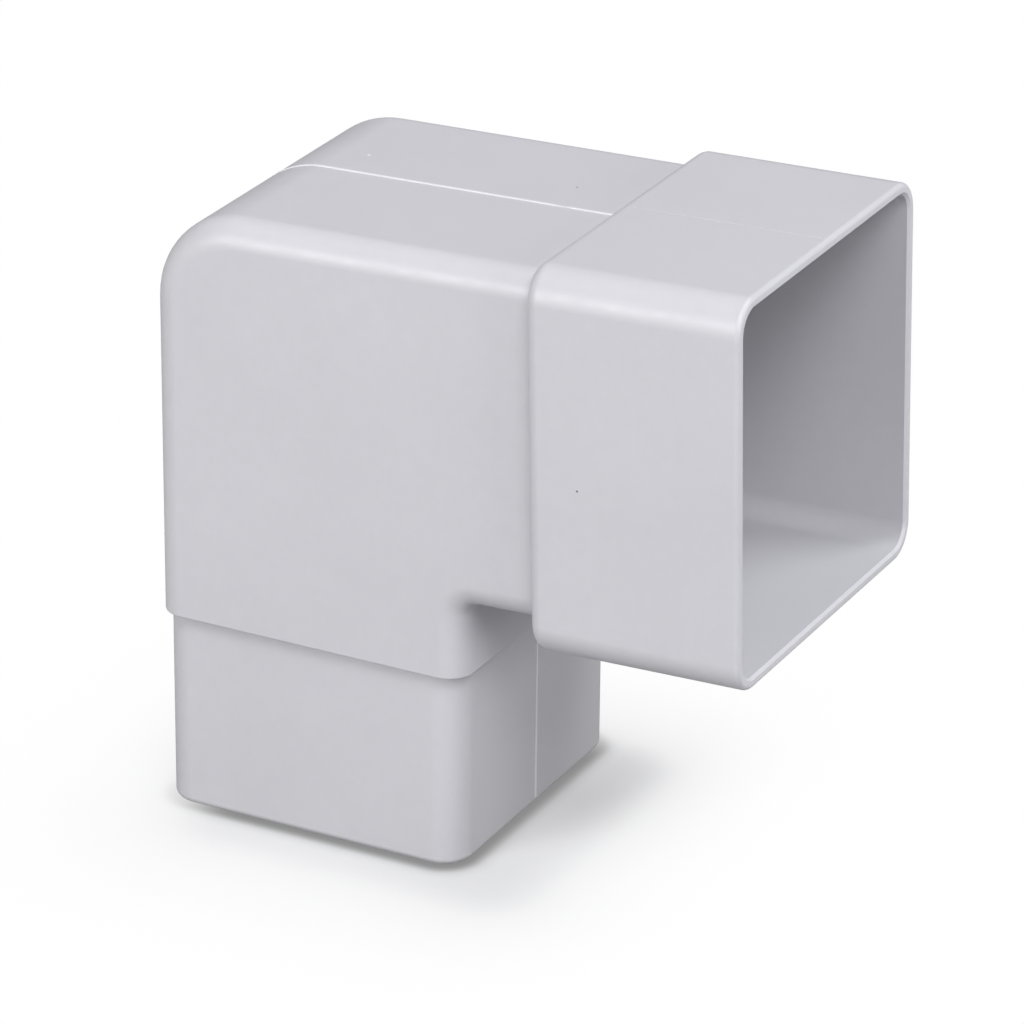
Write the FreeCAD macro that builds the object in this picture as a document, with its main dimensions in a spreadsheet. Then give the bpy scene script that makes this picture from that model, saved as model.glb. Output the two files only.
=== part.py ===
import FreeCAD, Part
import Sketcher
import os

# Square downspout elbow, moulded in one piece.
# Millimetres, Z up, X towards the socket. The origin is the middle of the spigot's foot.

SIZES = {
    # the pipe the fitting joins
    "pipe_width": 80.0,
    "pipe_wall": 2.5,
    "socket_clearance": 0.4,
    "spigot_clearance": 1.2,
    # moulded skin
    "skin": 2.5,
    "socket_skin": 2.6,
    # lower leg
    "spigot_length": 46.0,
    "spigot_round": 6.8,
    "foot_round": 1.6,
    # chamber, its heel wall in line with the spigot's
    "chamber_width": 77.6,
    "throat_overhang": 2.0,
    "chamber_round": 6.0,
    "heel_round": 20.5,
    "throat_round": 3.0,
    "rim_round": 0.4,
    # upper leg, whose axis crosses the spigot axis at leg_height and rises by leg_rise degrees
    "leg_height": 100.9,
    "leg_rise": 1.5,
    "underside_length": 16.8,
    "shoulder_round": 3.0,
    "socket_depth": 45.6,
    "socket_round": 7.5,
    "socket_drop": 1.5,
    "lip_round": 1.1,
    "lead_in": 0.6,
    # parting seam round the middle plane
    "seam_width": 0.6,
    "seam_height": 0.15,
    "faint_seam_height": 0.06,
    # how far one cavity runs into the next
    "overlap": 4.0,
}

# Sizes that follow from the ones above.
DERIVED = {
    "socket_bore": "pipe_width + 2 * socket_clearance",
    "socket_width": "socket_bore + 2 * socket_skin",
    "spigot_width": "pipe_width - 2 * pipe_wall - 2 * spigot_clearance",
    "spigot_bore": "spigot_width - 2 * skin",
    "chamber_bore": "chamber_width - 2 * skin",
    "chamber_heel": "spigot_width / 2",
    "chamber_throat": "spigot_width / 2 + throat_overhang",
    "heel_bore": "chamber_heel - skin",
    "throat_bore": "chamber_throat - skin",
    "ledge_height": "spigot_length + skin",
    "shoulder_reach": "chamber_throat + underside_length",
    "stop_reach": "shoulder_reach + socket_skin",
    "mouth_reach": "stop_reach + socket_depth",
    "socket_height": "leg_height - socket_drop",
    "spigot_top": "ledge_height + overlap",
    "leg_core_reach": "stop_reach + overlap",
    "mouth_core_reach": "mouth_reach + overlap",
    "lead_reach": "mouth_reach - lead_in",
    "lead_width": "socket_bore + 2 * lead_in",
    "foot_core_level": "-overlap",
    "foot_level": "0",
    "spigot_core_round": "spigot_round - skin",
    "chamber_core_round": "chamber_round - skin",
    "heel_core_round": "heel_round - skin",
    "throat_core_round": "throat_round + skin",
    "socket_core_round": "socket_round - socket_skin",
    "lead_round": "socket_core_round + lead_in",
    "spigot_seam": "spigot_width + 2 * seam_height",
    "chamber_seam": "chamber_width + 2 * seam_height",
    "heel_seam": "chamber_heel + seam_height",
    "throat_seam": "chamber_throat + seam_height",
    "socket_seam": "socket_width + 2 * faint_seam_height",
    "socket_seam_start": "shoulder_reach + shoulder_round",
    "socket_seam_end": "mouth_reach - lip_round",
    "heel_seam_round": "heel_round + seam_height",
    "throat_seam_round": "throat_round - seam_height",
}

doc = FreeCAD.newDocument("elbow")
sheet = doc.addObject("Spreadsheet::Sheet", "sizes")
row = 1
for alias, value in SIZES.items():
    sheet.set("A%d" % row, alias)
    sheet.set("B%d" % row, repr(value))
    sheet.setAlias("B%d" % row, alias)
    row = row + 1
for alias, rule in DERIVED.items():
    sheet.set("A%d" % row, alias)
    sheet.set("B%d" % row, "=" + rule)
    sheet.setAlias("B%d" % row, alias)
    row = row + 1
doc.recompute()


def size(alias):
    """The present value of one size."""
    return float(sheet.get(alias))


def vec(across, up):
    """A point of a side profile."""
    return FreeCAD.Vector(across, up, 0)


RISE = FreeCAD.Rotation(FreeCAD.Vector(0, 0, 1), size("leg_rise"))


def on_leg(height, along, off):
    """A point of the side profile, given along the upper leg's axis and off to its side."""
    return vec(0, size(height)) + RISE.multVec(vec(along, off))


def side_sketch(body, name):
    """An empty sketch on the body's own middle plane."""
    plane = [f for f in body.Origin.OriginFeatures if f.Role == "XZ_Plane"][0]
    sketch = body.newObject("Sketcher::SketchObject", name)
    sketch.AttachmentSupport = [(plane, "")]
    sketch.MapMode = "FlatFace"
    return sketch


def ring(sketch, points):
    """A closed run of lines through the points."""
    count = len(points)
    for place in range(count):
        line = Part.LineSegment(points[place], points[(place + 1) % count])
        sketch.addGeometry(line, False)
    for place in range(count):
        sketch.addConstraint(Sketcher.Constraint("Coincident", place, 2, (place + 1) % count, 1))


def bound(sketch, name, alias, *parts):
    """A sketch dimension that follows one size."""
    unit = " * 1 deg" if parts[0] == "Angle" else " * 1 mm"
    index = sketch.addConstraint(Sketcher.Constraint(*parts))
    sketch.renameConstraint(index, name)
    sketch.setExpression("Constraints." + name, "sizes." + alias + unit)


def leg_axis(sketch, height, reach):
    """The upper leg's axis as a construction line, from the spigot axis to its reach."""
    start = on_leg(height, 0, 0)
    end = on_leg(height, size(reach), 0)
    axis = sketch.addGeometry(Part.LineSegment(start, end), True)
    sketch.addConstraint(Sketcher.Constraint("PointOnObject", axis, 1, -2))
    bound(sketch, "axis_height", height, "DistanceY", -1, 1, axis, 1, size(height))
    bound(sketch, "axis_rise", "leg_rise", "Angle", axis, RISE.Angle)
    bound(sketch, "axis_reach", reach, "Distance", axis, 1, axis, 2, size(reach))
    return axis


def extrude(body, sketch, depth):
    """The sketch drawn out to both sides of the middle plane."""
    pad = body.newObject("PartDesign::Pad", sketch.Name + "_pad")
    pad.Profile = sketch
    pad.Midplane = True
    pad.setExpression("Length", "sizes." + depth + " * 1 mm")
    sketch.Visibility = False
    doc.recompute()
    return pad


def dress(body, kind, base, names, alias, prop):
    """A fillet or chamfer on the named edges of the last feature."""
    feature = body.newObject("PartDesign::" + kind, base.Name + "_" + alias)
    feature.Base = (base, names)
    feature.setExpression(prop, "sizes." + alias + " * 1 mm")
    doc.recompute()
    return feature


def edges_where(feature, test):
    """The names of a feature's edges that pass the test."""
    found = []
    for place, edge in enumerate(feature.Shape.Edges):
        if test(edge):
            found.append("Edge%d" % (place + 1))
    return found


def runs_along(direction):
    """A test for straight edges along a direction."""
    def test(edge):
        if edge.Curve.TypeId != "Part::GeomLine":
            return False
        return edge.Curve.Direction.cross(direction).Length < 1e-6
    return test


def lies_on(point, normal):
    """A test for edges that lie in a plane."""
    def test(edge):
        ends = edge.discretize(5)
        return all(abs((end - point).dot(normal)) < 1e-6 for end in ends)
    return test


def across_at(point):
    """A test for edges straight across the body through a point of its side profile."""
    def test(edge):
        if not runs_along(ACROSS)(edge):
            return False
        middle = edge.valueAt((edge.FirstParameter + edge.LastParameter) / 2)
        return (FreeCAD.Vector(middle.x, 0, middle.z) - point).Length < 1e-6
    return test


def on_outline(feature, skip):
    """The edges round both flat sides of a feature, without those in the skipped planes."""
    reach = feature.Shape.BoundBox.YMax

    def test(edge):
        ends = edge.discretize(5)
        if any(abs(abs(end.y) - reach) > 1e-6 for end in ends):
            return False
        return not any(lies_on(point, normal)(edge) for point, normal in skip)
    return edges_where(feature, test)


ACROSS = FreeCAD.Vector(0, 1, 0)
UP = FreeCAD.Vector(0, 0, 1)
ALONG = FreeCAD.Vector(RISE.multVec(vec(1, 0)).x, 0, RISE.multVec(vec(1, 0)).y)


def space(point):
    """A point of the side profile as a point of space."""
    return FreeCAD.Vector(point.x, 0, point.y)


def spigot(name, width, depth, low, corner=None, foot=None):
    """The upright square leg, from a low level up into the chamber."""
    body = doc.addObject("PartDesign::Body", name)
    sketch = side_sketch(body, name + "_side")
    half = size(width) / 2
    bottom = size(low)
    top = size("spigot_top")
    ring(sketch, [vec(-half, bottom), vec(half, bottom), vec(half, top), vec(-half, top)])
    sketch.addConstraint(Sketcher.Constraint("Vertical", 1))
    sketch.addConstraint(Sketcher.Constraint("Horizontal", 2))
    sketch.addConstraint(Sketcher.Constraint("Symmetric", 0, 1, 0, 2, -2))
    sketch.addConstraint(Sketcher.Constraint("Vertical", 3))
    bound(sketch, "side_width", width, "DistanceX", 0, 1, 0, 2, 2 * half)
    bound(sketch, "low_level", low, "DistanceY", -1, 1, 0, 1, bottom)
    bound(sketch, "high_level", "spigot_top", "DistanceY", -1, 1, 2, 1, top)
    last = extrude(body, sketch, depth)
    if corner:
        last = dress(body, "Fillet", last, edges_where(last, runs_along(UP)), corner, "Radius")
    if foot:
        sole = lies_on(FreeCAD.Vector(0, 0, bottom), UP)
        last = dress(body, "Fillet", last, edges_where(last, sole), foot, "Radius")
    body.Tip = last
    return body


def chamber(name, width, depth, sides, low, reach, heel, throat, corner=None, rim=None):
    """The bent chamber: an upright leg and the upper leg in one side profile."""
    body = doc.addObject("PartDesign::Body", name)
    sketch = side_sketch(body, name + "_side")
    half = size(width) / 2
    back = size(sides[0])
    front = size(sides[1])
    bottom = size(low)
    slope = ALONG.z / ALONG.x
    lift = half / ALONG.x
    inner = vec(front, size("leg_height") - lift + slope * front)
    outer = vec(-back, size("leg_height") + lift - slope * back)
    far = size(reach)
    ring(sketch, [
        vec(-back, bottom),
        vec(front, bottom),
        inner,
        on_leg("leg_height", far, -half),
        on_leg("leg_height", far, half),
        outer,
    ])
    axis = leg_axis(sketch, "leg_height", reach)
    sketch.addConstraint(Sketcher.Constraint("Horizontal", 0))
    sketch.addConstraint(Sketcher.Constraint("Vertical", 1))
    sketch.addConstraint(Sketcher.Constraint("Vertical", 5))
    sketch.addConstraint(Sketcher.Constraint("Parallel", 2, axis))
    sketch.addConstraint(Sketcher.Constraint("Parallel", 4, axis))
    sketch.addConstraint(Sketcher.Constraint("Symmetric", 3, 1, 3, 2, axis, 2))
    sketch.addConstraint(Sketcher.Constraint("Perpendicular", 3, axis))
    bound(sketch, "heel_side", sides[0], "DistanceX", 0, 1, -1, 1, back)
    bound(sketch, "throat_side", sides[1], "DistanceX", -1, 1, 0, 2, front)
    bound(sketch, "leg_width", width, "Distance", 3, 1, 3, 2, 2 * half)
    bound(sketch, "low_level", low, "DistanceY", -1, 1, 0, 1, bottom)
    last = extrude(body, sketch, depth)
    last = dress(body, "Fillet", last, edges_where(last, across_at(space(outer))), heel, "Radius")
    last = dress(body, "Fillet", last, edges_where(last, across_at(space(inner))), throat, "Radius")
    sole = (FreeCAD.Vector(0, 0, bottom), UP)
    if corner:
        end = (space(on_leg("leg_height", far, 0)), ALONG)
        last = dress(body, "Fillet", last, on_outline(last, [sole, end]), corner, "Radius")
    if rim:
        last = dress(body, "Fillet", last, edges_where(last, lies_on(*sole)), rim, "Radius")
    body.Tip = last
    return body


def socket(name, width, depth, start, reach, corner=None, rim=None, shoulder=None, lead=None):
    """The square sleeve on the upper leg, from its shoulder to its mouth."""
    body = doc.addObject("PartDesign::Body", name)
    sketch = side_sketch(body, name + "_side")
    half = size(width) / 2
    near = size(start)
    far = size(reach)
    ring(sketch, [
        on_leg("socket_height", near, -half),
        on_leg("socket_height", far, -half),
        on_leg("socket_height", far, half),
        on_leg("socket_height", near, half),
    ])
    axis = leg_axis(sketch, "socket_height", reach)
    sketch.addConstraint(Sketcher.Constraint("Parallel", 0, axis))
    sketch.addConstraint(Sketcher.Constraint("Parallel", 2, axis))
    sketch.addConstraint(Sketcher.Constraint("Perpendicular", 1, axis))
    sketch.addConstraint(Sketcher.Constraint("Perpendicular", 3, axis))
    sketch.addConstraint(Sketcher.Constraint("Symmetric", 1, 1, 1, 2, axis, 2))
    bound(sketch, "leg_width", width, "Distance", 1, 1, 1, 2, 2 * half)
    bound(sketch, "start_reach", start, "Distance", axis, 1, 3, near)
    last = extrude(body, sketch, depth)
    mouth = lies_on(space(on_leg("socket_height", far, 0)), ALONG)
    back = lies_on(space(on_leg("socket_height", near, 0)), ALONG)
    if corner:
        last = dress(body, "Fillet", last, edges_where(last, runs_along(ALONG)), corner, "Radius")
    if rim:
        last = dress(body, "Fillet", last, edges_where(last, mouth), rim, "Radius")
    if shoulder:
        last = dress(body, "Fillet", last, edges_where(last, back), shoulder, "Radius")
    if lead:
        last = dress(body, "Chamfer", last, edges_where(last, back), lead, "Size")
    body.Tip = last
    return body


def joined(name, bodies):
    """Several bodies as one."""
    fuse = doc.addObject("Part::MultiFuse", name)
    fuse.Shapes = bodies
    fuse.Refine = True
    doc.recompute()
    return fuse


skin = joined("skin_outside", [
    chamber("chamber_skin", "chamber_width", "chamber_width", ("chamber_heel", "chamber_throat"),
            "spigot_length", "stop_reach", "heel_round", "throat_round", "chamber_round", "rim_round"),
    spigot("spigot_skin", "spigot_width", "spigot_width", "foot_level", "spigot_round", "foot_round"),
    socket("socket_sleeve", "socket_width", "socket_width", "shoulder_reach", "mouth_reach",
           "socket_round", "lip_round", "shoulder_round"),
    chamber("chamber_seam_bead", "chamber_seam", "seam_width", ("heel_seam", "throat_seam"),
            "spigot_length", "shoulder_reach", "heel_seam_round", "throat_seam_round"),
    spigot("spigot_seam_bead", "spigot_seam", "seam_width", "foot_round"),
    socket("socket_seam_bead", "socket_seam", "seam_width", "socket_seam_start", "socket_seam_end"),
])

core = joined("hollow", [
    chamber("chamber_core", "chamber_bore", "chamber_bore", ("heel_bore", "throat_bore"),
            "ledge_height", "leg_core_reach", "heel_core_round", "throat_core_round", "chamber_core_round"),
    spigot("spigot_core", "spigot_bore", "spigot_bore", "foot_core_level", "spigot_core_round"),
    socket("socket_core", "socket_bore", "socket_bore", "stop_reach", "mouth_core_reach",
           "socket_core_round"),
    socket("mouth_lead_in", "lead_width", "lead_width", "lead_reach", "mouth_core_reach",
           "lead_round", lead="lead_in"),
])

elbow = doc.addObject("Part::Cut", "elbow")
elbow.Label = "elbow"
elbow.Base = skin
elbow.Tool = core
elbow.Refine = True
doc.recompute()

for item in doc.Objects:
    if "Invalid" in item.State or "Error" in item.State:
        raise RuntimeError("not built: " + item.Name)

shape = elbow.Shape
if shape.isNull() or not shape.isValid() or len(shape.Solids) != 1:
    raise RuntimeError("the elbow is not one sound solid")

os.makedirs("parts", exist_ok=True)
shape.exportStep(os.path.join("parts", elbow.Label + ".step"))
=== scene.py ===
"""Square downspout elbow in light grey uPVC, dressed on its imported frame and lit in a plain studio."""

import logging
import math
from dataclasses import dataclass, field
from enum import Enum
from typing import Any

import bmesh
import bpy
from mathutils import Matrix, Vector


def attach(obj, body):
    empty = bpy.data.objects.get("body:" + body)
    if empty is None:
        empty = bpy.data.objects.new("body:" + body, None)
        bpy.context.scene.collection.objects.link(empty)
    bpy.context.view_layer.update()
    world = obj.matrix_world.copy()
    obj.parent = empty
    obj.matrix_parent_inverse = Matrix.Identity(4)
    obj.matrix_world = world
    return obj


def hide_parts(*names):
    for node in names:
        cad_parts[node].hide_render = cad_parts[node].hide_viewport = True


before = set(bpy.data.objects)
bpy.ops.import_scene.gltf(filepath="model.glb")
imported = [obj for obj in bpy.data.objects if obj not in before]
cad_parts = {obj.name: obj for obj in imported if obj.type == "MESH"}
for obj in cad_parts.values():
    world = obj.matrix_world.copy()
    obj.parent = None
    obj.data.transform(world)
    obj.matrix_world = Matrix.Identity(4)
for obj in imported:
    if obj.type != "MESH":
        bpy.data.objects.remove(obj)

log = logging.getLogger("downspout_elbow")

MM = 0.001
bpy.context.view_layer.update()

UPVC_IOR = 1.53
# Most values of a noise texture lie in this span.
NOISE_SPAN = (0.3, 0.7)

Point = tuple[float, float, float]
Colour = tuple[float, float, float, float]
Shares = tuple[tuple[float, float], ...]
Tree = bpy.types.NodeTree
Socket = bpy.types.NodeSocket


class Body(str, Enum):
    """Bodies of the frame that pieces ride on."""

    ROOT = "root"


class Slot(str, Enum):
    """Material slots of the record."""

    UPVC = "upvc"


class Tone(Enum):
    """Colours of the elbow and its studio, as sRGB hex values."""

    UPVC = "#C4C3C7"
    UPVC_DEEP = "#C2C1C5"
    UPVC_PALE = "#C6C5C9"
    # Paler tone painted on the seam as a highlight.
    PARTING_PAINTED_HIGHLIGHT = "#E6E6E8"
    SPECK = "#55565A"
    FLECK = "#F1F1F2"
    CARD = "#E9E9E9"
    CARD_DEEP = "#E7E7E7"
    CARD_BOUNCE = "#A0A0A0"
    # Near black painted on the card as the contact shadow beside the foot.
    CARD_PAINTED_CONTACT_SHADOW = "#0C0C0C"
    LAMP = "#FFFFFF"
    LAMP_COOL = "#FAFBFF"
    SKY = "#FDFDFF"


def linear(tone: Tone) -> Colour:
    """Turn an sRGB hex colour to linear RGBA.

    Args:
        tone: Named colour.

    Returns:
        Linear red, green, blue and a full alpha.
    """
    digits = tone.value.lstrip("#")
    steps = [int(digits[i:i + 2], 16) / 255 for i in (0, 2, 4)]
    red, green, blue = (s / 12.92 if s <= 0.04045 else ((s + 0.055) / 1.055) ** 2.4 for s in steps)
    return red, green, blue, 1.0


def metres(point: Point) -> Point:
    """Turn a point from millimetres to metres."""
    across, along, up = point
    return across * MM, along * MM, up * MM


def add_node(tree: Tree, kind: str, inputs: dict[Any, Any] | None = None,
             **settings: Any) -> bpy.types.Node:
    """Add a node with its settings and links.

    Args:
        tree: Node tree that takes the node.
        kind: Blender's name of the node type.
        inputs: Values or output sockets for the node's inputs, by name or number.
        **settings: Properties of the node.

    Returns:
        The new node.
    """
    node = tree.nodes.new(kind)
    for name, value in settings.items():
        setattr(node, name, value)
    for key, value in (inputs or {}).items():
        if isinstance(value, Socket):
            tree.links.new(value, node.inputs[key])
        else:
            node.inputs[key].default_value = value
    return node


def add_ramp(tree: Tree, factor: Socket, stops: tuple[tuple[float, Colour], ...],
             interpolation: str = "LINEAR") -> Socket:
    """Add a colour ramp.

    Args:
        tree: Node tree that takes the ramp.
        factor: Output that runs along the ramp.
        stops: Places along the ramp, from 0 to 1, and the linear colour at each.
        interpolation: Blender's name of the way from stop to stop.

    Returns:
        The ramp's colour.
    """
    node = add_node(tree, "ShaderNodeValToRGB", {"Fac": factor})
    node.color_ramp.interpolation = interpolation
    elements = node.color_ramp.elements
    while len(elements) < len(stops):
        elements.new(1.0)
    for element, (place, colour) in zip(elements, stops):
        element.position = place
        element.color = colour
    return node.outputs["Color"]


def empty_tree(owner: bpy.types.Material | bpy.types.World) -> Tree:
    """Switch a material or world to nodes and clear what it starts with.

    Args:
        owner: Material or world.

    Returns:
        Its empty node tree.
    """
    owner.use_nodes = True
    owner.node_tree.nodes.clear()
    return owner.node_tree


@dataclass(frozen=True)
class Noise:
    """Noise texture: the size of its features in millimetres, its octaves and their weight."""

    size: float
    detail: float
    roughness: float = 0.5

    def add(self, tree: Tree, place: Socket) -> Socket:
        """Add the texture to a tree.

        Args:
            tree: Node tree that takes the texture.
            place: Object coordinates, in metres.

        Returns:
            The texture's value.
        """
        texture = add_node(tree, "ShaderNodeTexNoise", {
            "Vector": place, "Scale": 1.0 / (self.size * MM),
            "Detail": self.detail, "Roughness": self.roughness})
        return texture.outputs["Fac"]


@dataclass(frozen=True)
class Mark:
    """Small inclusion in the plastic: its place on the surface and its radius, in millimetres.

    Its colour is full up to a share of the radius and fades out from there.
    """

    place: Point
    radius: float
    tone: Tone
    full_share: float = 0.45


@dataclass(frozen=True)
class MouldedUpvc:
    """Unplasticised PVC, injection moulded in a steel tool with a fine matt surface.

    The pigment leaves faint clouds, the cooling walls draw in by a few hundredths, and the
    tool's matt face leaves a grain that spreads every highlight into a soft satin band.
    Heights are in millimetres.
    """

    name: str = "upvc_moulded_satin"
    roughness: float = 0.44
    roughness_spread: float = 0.05
    cloud: Noise = Noise(38.0, 3.0, 0.55)
    mottle: Noise = Noise(2.2, 2.0, 0.6)
    mottle_share: float = 0.35
    deep_level: float = 0.32
    middle_level: float = 0.50
    pale_level: float = 0.68
    # The tool's grain is about 0.1 mm, too fine to show, so it is drawn at 0.8 mm.
    grain: Noise = Noise(0.8, 2.0, 0.6)
    grain_height: float = 0.006
    draw: Noise = Noise(30.0, 1.0, 0.4)
    draw_height: float = 0.05
    marks: tuple[Mark, ...] = (
        Mark((67.04, -43.0, 98.11), 0.32, Tone.SPECK),
        Mark((38.54, 11.62, 140.72), 0.30, Tone.SPECK),
        Mark((-10.74, 10.36, 139.43), 0.45, Tone.FLECK),
    )

    def material(self) -> bpy.types.Material:
        """Make the plastic's material.

        Returns:
            Material with clouded colour, satin gloss and moulded relief.
        """
        made = bpy.data.materials.new(self.name)
        tree = empty_tree(made)
        place = add_node(tree, "ShaderNodeTexCoord").outputs["Object"]
        mottle = self.mottle.add(tree, place)
        blend = add_node(tree, "ShaderNodeMix", {
            "Factor": self.mottle_share, "A": self.cloud.add(tree, place), "B": mottle},
            data_type="FLOAT")
        colour = add_ramp(tree, blend.outputs["Result"], (
            (self.deep_level, linear(Tone.UPVC_DEEP)),
            (self.middle_level, linear(Tone.UPVC)),
            (self.pale_level, linear(Tone.UPVC_PALE))))
        for mark in self.marks:
            colour = self.marked(tree, place, colour, mark)
        gloss = add_node(tree, "ShaderNodeMapRange", {
            "Value": mottle, "From Min": NOISE_SPAN[0], "From Max": NOISE_SPAN[1],
            "To Min": self.roughness - self.roughness_spread,
            "To Max": self.roughness + self.roughness_spread})
        drawn = add_node(tree, "ShaderNodeBump", {
            "Strength": 1.0, "Distance": self.draw_height * MM, "Height": self.draw.add(tree, place)})
        relief = add_node(tree, "ShaderNodeBump", {
            "Strength": 1.0, "Distance": self.grain_height * MM, "Height": self.grain.add(tree, place),
            "Normal": drawn.outputs["Normal"]})
        shader = add_node(tree, "ShaderNodeBsdfPrincipled", {
            "Base Color": colour, "Roughness": gloss.outputs["Result"], "IOR": UPVC_IOR,
            "Normal": relief.outputs["Normal"]})
        add_node(tree, "ShaderNodeOutputMaterial", {"Surface": shader.outputs["BSDF"]})
        return made

    def marked(self, tree: Tree, place: Socket, colour: Socket, mark: Mark) -> Socket:
        """Put one inclusion into the colour.

        Args:
            tree: Tree of the material.
            place: Object coordinates.
            colour: Colour so far.
            mark: The inclusion.

        Returns:
            Colour with the inclusion in it.
        """
        away = add_node(tree, "ShaderNodeVectorMath", {
            0: place, 1: metres(mark.place)}, operation="DISTANCE")
        inside = add_node(tree, "ShaderNodeMapRange", {
            "Value": away.outputs["Value"], "From Min": mark.radius * MM,
            "From Max": mark.radius * MM * mark.full_share, "To Min": 0.0, "To Max": 1.0})
        mixed = add_node(tree, "ShaderNodeMix", {
            "Factor": inside.outputs["Result"], "A": colour, "B": linear(mark.tone)},
            data_type="RGBA")
        return mixed.outputs["Result"]


@dataclass(frozen=True)
class PartingLine:
    """The same uPVC where the two halves of the tool met.

    The plastic in the joint is glossier than the wall. Its paler colour is a painted highlight, standing
    in for the light that the seam's bead catches, and it comes and goes along its length.
    """

    name: str = "upvc_parting_line"
    roughness: float = 0.30
    roughness_rise: float = 0.08
    breaks: Noise = Noise(9.0, 3.0, 0.6)
    wall_level: float = 0.22
    pale_level: float = 0.40

    def material(self) -> bpy.types.Material:
        """Make the parting line's material.

        Returns:
            Material that runs between the wall's colour and a paler painted highlight.
        """
        made = bpy.data.materials.new(self.name)
        tree = empty_tree(made)
        place = add_node(tree, "ShaderNodeTexCoord").outputs["Object"]
        breaks = self.breaks.add(tree, place)
        # The paler end of this ramp is a painted highlight along the seam.
        colour = add_ramp(tree, breaks, (
            (self.wall_level, linear(Tone.UPVC_PALE)),
            (self.pale_level, linear(Tone.PARTING_PAINTED_HIGHLIGHT))))
        gloss = add_node(tree, "ShaderNodeMapRange", {
            "Value": breaks, "From Min": NOISE_SPAN[0], "From Max": NOISE_SPAN[1],
            "To Min": self.roughness + self.roughness_rise, "To Max": self.roughness})
        shader = add_node(tree, "ShaderNodeBsdfPrincipled", {
            "Base Color": colour, "Roughness": gloss.outputs["Result"], "IOR": UPVC_IOR})
        add_node(tree, "ShaderNodeOutputMaterial", {"Surface": shader.outputs["BSDF"]})
        return made


@dataclass(frozen=True)
class MattCard:
    """White card of the studio floor, matt, with the faint unevenness of paper.

    Sizes are in millimetres. The painted contact shadow is the share of the card's colour that is left
    beside the foot, the rest being painted near black. The veil is the share of plain white glow that
    the camera sees on it; it fades the real shadow out into white and so paints the shadow's reach,
    round a shade that lies towards the camera and to the socket's side. Both go by distance from the
    flat core of the foot's square, whose round corners are drawn about the core's corners.
    """

    name: str = "card_white_matt"
    fibre: Noise = Noise(6.0, 2.0)
    core_half: Point = (29.5, 29.5, 0.0)
    foot_middle: Point = (0.0, 0.0, 0.0)
    # Painted contact shadow: distances from the foot's core and the share of the card's own colour at
    # each.
    painted_contact_shadow: Shares = ((6.0, 0.0), (8.0, 0.05), (10.0, 0.86), (13.0, 0.96), (22.0, 1.0))
    # Middle and shares of the white glow that paints where the floor's shadow fades out.
    shade_middle: Point = (14.0, -8.0, 0.0)
    veil: Shares = ((8.0, 0.26), (16.0, 0.74), (28.0, 0.85), (46.0, 0.98), (70.0, 0.99), (110.0, 1.0))

    def material(self) -> bpy.types.Material:
        """Make the card's material.

        Returns:
            Matt material that shows near white to the camera and keeps the shadow, with a painted
            contact shadow by the foot and a white glow that paints the shadow's reach.
        """
        made = bpy.data.materials.new(self.name)
        tree = empty_tree(made)
        place = add_node(tree, "ShaderNodeTexCoord").outputs["Object"]
        paper = add_node(tree, "ShaderNodeMix", {
            "Factor": self.fibre.add(tree, place), "A": linear(Tone.CARD_DEEP), "B": linear(Tone.CARD)},
            data_type="RGBA")
        # Painted contact shadow: right beside the foot the card's colour turns near black.
        shaded = add_node(tree, "ShaderNodeMix", {
            "Factor": self.by_distance(tree, place, self.foot_middle, self.painted_contact_shadow),
            "A": linear(Tone.CARD_PAINTED_CONTACT_SHADOW), "B": paper.outputs["Result"]}, data_type="RGBA")
        matt = add_node(tree, "ShaderNodeBsdfDiffuse", {"Color": shaded.outputs["Result"]})
        white = add_node(tree, "ShaderNodeEmission", {"Color": linear(Tone.LAMP), "Strength": 1.0})
        # Painted light: a white glow, low near the shade's middle and full further out, fades the real
        # shadow into white and sets its shape.
        seen = add_node(tree, "ShaderNodeMixShader", {
            0: self.by_distance(tree, place, self.shade_middle, self.veil),
            1: matt.outputs["BSDF"], 2: white.outputs["Emission"]})
        # A small sheet on a grey table gives the elbow less light from below than an endless one.
        bounce = add_node(tree, "ShaderNodeBsdfDiffuse", {"Color": linear(Tone.CARD_BOUNCE)})
        path = add_node(tree, "ShaderNodeLightPath")
        card = add_node(tree, "ShaderNodeMixShader", {
            0: path.outputs["Is Camera Ray"], 1: bounce.outputs["BSDF"], 2: seen.outputs["Shader"]})
        add_node(tree, "ShaderNodeOutputMaterial", {"Surface": card.outputs["Shader"]})
        return made

    def by_distance(self, tree: Tree, place: Socket, middle: Point, shares: Shares) -> Socket:
        """Make a share that changes with distance from a flat square.

        Args:
            tree: Tree of the material.
            place: Object coordinates.
            middle: Middle of the square.
            shares: Distances from the square and the share at each.

        Returns:
            The share at each point of the card.
        """
        offset = add_node(tree, "ShaderNodeVectorMath", {
            0: place, 1: metres(middle)}, operation="SUBTRACT")
        folded = add_node(tree, "ShaderNodeVectorMath", {
            0: offset.outputs["Vector"]}, operation="ABSOLUTE")
        past = add_node(tree, "ShaderNodeVectorMath", {
            0: folded.outputs["Vector"], 1: metres(self.core_half)}, operation="SUBTRACT")
        outside = add_node(tree, "ShaderNodeVectorMath", {
            0: past.outputs["Vector"], 1: (0.0, 0.0, 0.0)}, operation="MAXIMUM")
        away = add_node(tree, "ShaderNodeVectorMath", {
            0: outside.outputs["Vector"]}, operation="LENGTH")
        reach = shares[-1][0]
        along = add_node(tree, "ShaderNodeMapRange", {
            "Value": away.outputs["Value"], "From Max": reach * MM})
        stops = tuple((distance / reach, (share, share, share, 1.0)) for distance, share in shares)
        return add_ramp(tree, along.outputs["Result"], stops, "B_SPLINE")


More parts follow.
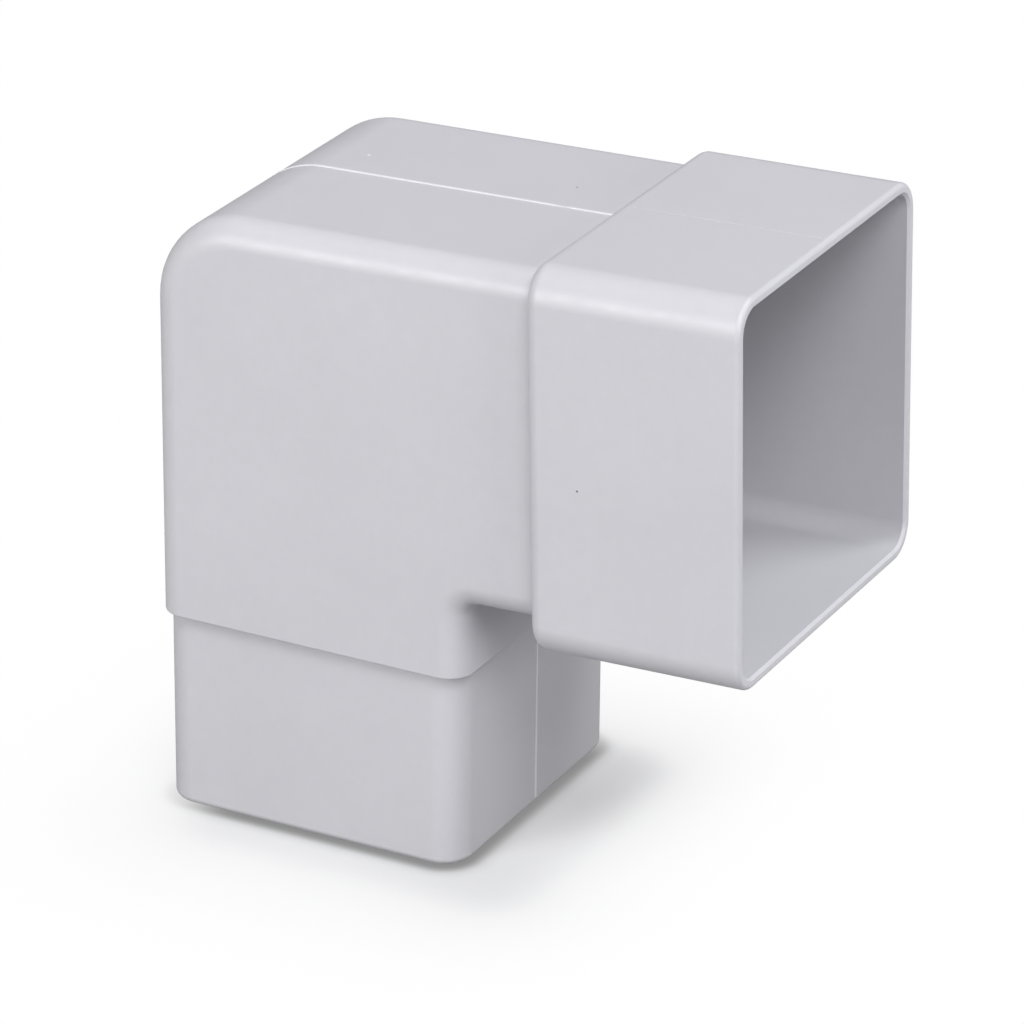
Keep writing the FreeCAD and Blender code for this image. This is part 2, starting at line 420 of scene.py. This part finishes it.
@dataclass
class Elbow:
    """The moulded elbow: spigot below, chamber at the bend and socket to the side, in one piece.

    Sizes are in millimetres and the angle in degrees. Points nearer than the weld are joined, and
    edges shorter than the sliver dissolved. The painted highlight on the seam ends at the seam's reach,
    where the socket starts.
    """

    node: str = "elbow"
    piece_name: str = "elbow_moulding"
    weld: float = 0.002
    sliver: float = 0.001
    seam_width: float = 0.6
    seam_slack: float = 0.02
    seam_reach: float = 55.0
    sharp_angle: float = 28.0
    shading_weight: int = 50
    wall: MouldedUpvc = field(default_factory=MouldedUpvc)
    parting: PartingLine = field(default_factory=PartingLine)

    def build(self) -> bpy.types.Object:
        """Make the moulding as one closed skin from the frame's solid.

        Returns:
            The piece, smooth over its rounds and crisp at its steps.
        """
        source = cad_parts[self.node]
        skin = bmesh.new()
        skin.from_mesh(source.data)
        bmesh.ops.remove_doubles(skin, verts=skin.verts, dist=self.weld * MM)
        bmesh.ops.dissolve_degenerate(skin, edges=skin.edges, dist=self.sliver * MM)
        for face in skin.faces:
            face.smooth = True
            # The wall's plastic is the first material, and the parting line's, with its painted
            # highlight, the second.
            face.material_index = int(self.on_parting_line(face))
        for edge in skin.edges:
            edge.smooth = not self.is_crisp(edge)
        mesh = bpy.data.meshes.new(self.piece_name)
        skin.to_mesh(mesh)
        skin.free()
        piece = bpy.data.objects.new(self.piece_name, mesh)
        bpy.context.scene.collection.objects.link(piece)
        even = piece.modifiers.new("even_shading", "WEIGHTED_NORMAL")
        even.mode = "FACE_AREA"
        even.weight = self.shading_weight
        even.keep_sharp = True
        return piece

    def on_parting_line(self, face: bmesh.types.BMFace) -> bool:
        """Tell whether a face belongs to the seam where the tool parted, which carries a painted
        highlight.
        """
        half = (self.seam_width / 2 + self.seam_slack) * MM
        return all(abs(v.co.y) <= half and v.co.x <= self.seam_reach * MM for v in face.verts)

    def is_crisp(self, edge: bmesh.types.BMEdge) -> bool:
        """Tell whether an edge is a real corner and not a step of a round."""
        return len(edge.link_faces) != 2 or edge.calc_face_angle() > math.radians(self.sharp_angle)

    def dress(self, piece: bpy.types.Object) -> None:
        """Give the piece its plastic and put it on its body.

        Args:
            piece: The moulding.
        """
        piece.data.materials.append(self.wall.material())
        piece.data.materials.append(self.parting.material())
        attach(piece, Body.ROOT.value)
        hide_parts(self.node)


@dataclass
class Softbox:
    """One soft lamp of the studio; places and width in metres, power in watts."""

    name: str
    place: Point
    aim: Point
    width: float
    power: float
    tone: Tone

    def build(self) -> bpy.types.Object:
        """Hang the lamp.

        Returns:
            The lamp's object.
        """
        lamp = bpy.data.lights.new(self.name, "AREA")
        lamp.shape = "SQUARE"
        lamp.size = self.width
        lamp.energy = self.power
        lamp.color = linear(self.tone)[:3]
        hung = bpy.data.objects.new(self.name, lamp)
        hung.location = self.place
        hung.rotation_euler = (Vector(self.aim) - Vector(self.place)).to_track_quat("-Z", "Y").to_euler()
        bpy.context.scene.collection.objects.link(hung)
        return hung


@dataclass
class Studio:
    """White card floor, soft lamps, even surroundings and the camera.

    Places are in metres, turns in degrees, and the lens and sensor in millimetres. The floor lies
    a hair below the foot, so that the two faces don't fight.
    """

    floor_half: float = 3.0
    floor_drop: float = 0.00005
    sky_strength: float = 0.26
    camera_place: Point = (0.53418, -0.97270, 0.56058)
    camera_turn: Point = (65.81691, -0.50070, 27.62825)
    lens: float = 196.828
    sensor: float = 36.0
    nearest: float = 0.05
    farthest: float = 20.0
    card: MattCard = field(default_factory=MattCard)
    lamps: tuple[Softbox, ...] = (
        Softbox("key_softbox", (-1.05, -2.02, 0.80), (0.03, 0.0, 0.08), 0.9, 31.0, Tone.LAMP),
        Softbox("front_top_softbox", (1.15, -1.28, 1.80), (0.07, 0.0, 0.08), 1.1, 32.0, Tone.LAMP_COOL),
        Softbox("back_top_softbox", (1.15, 0.88, 2.03), (0.07, 0.0, 0.08), 1.1, 29.0, Tone.LAMP_COOL),
        Softbox("fill_softbox", (2.30, -0.50, 0.53), (0.06, 0.0, 0.05), 0.7, 15.0, Tone.LAMP),
    )

    def build_floor(self) -> bpy.types.Object:
        """Lay the card that the elbow stands on.

        Returns:
            The floor's object.
        """
        sheet = bmesh.new()
        bmesh.ops.create_grid(sheet, x_segments=1, y_segments=1, size=self.floor_half)
        bmesh.ops.translate(sheet, verts=sheet.verts, vec=(0.0, 0.0, -self.floor_drop))
        mesh = bpy.data.meshes.new("studio_floor")
        sheet.to_mesh(mesh)
        sheet.free()
        mesh.materials.append(self.card.material())
        floor = bpy.data.objects.new("studio_floor", mesh)
        bpy.context.scene.collection.objects.link(floor)
        return floor

    def build_surroundings(self) -> bpy.types.World:
        """Make the even, pale surroundings; the camera sees them as white.

        Returns:
            The world.
        """
        world = bpy.data.worlds.new("studio_surroundings")
        tree = empty_tree(world)
        path = add_node(tree, "ShaderNodeLightPath")
        strength = add_node(tree, "ShaderNodeMapRange", {
            "Value": path.outputs["Is Camera Ray"], "To Min": self.sky_strength, "To Max": 1.0})
        glow = add_node(tree, "ShaderNodeBackground", {
            "Color": linear(Tone.SKY), "Strength": strength.outputs["Result"]})
        add_node(tree, "ShaderNodeOutputWorld", {"Surface": glow.outputs["Background"]})
        bpy.context.scene.world = world
        return world

    def build_camera(self) -> bpy.types.Object:
        """Set up the camera at the photograph's angle.

        Returns:
            The camera's object.
        """
        camera = bpy.data.cameras.new("studio_camera")
        camera.sensor_width = self.sensor
        camera.lens = self.lens
        camera.clip_start = self.nearest
        camera.clip_end = self.farthest
        stand = bpy.data.objects.new("studio_camera", camera)
        stand.location = self.camera_place
        stand.rotation_euler = tuple(math.radians(v) for v in self.camera_turn)
        bpy.context.scene.collection.objects.link(stand)
        bpy.context.scene.camera = stand
        return stand

    def build(self) -> None:
        """Set up the whole studio."""
        log.info("floor: %s", self.build_floor().name)
        log.info("surroundings: %s", self.build_surroundings().name)
        for lamp in self.lamps:
            log.info("lamp: %s", lamp.build().name)
        log.info("camera: %s", self.build_camera().name)
        bpy.context.scene.view_settings.view_transform = "Standard"


def main() -> None:
    """Build the elbow and its studio in order."""
    logging.basicConfig(level=logging.INFO, format="%(name)s %(message)s")
    Studio().build()
    elbow = Elbow()
    piece = elbow.build()
    elbow.dress(piece)
    log.info("piece: %s, %d faces", piece.name, len(piece.data.polygons))


if __name__ == "__main__":
    main()
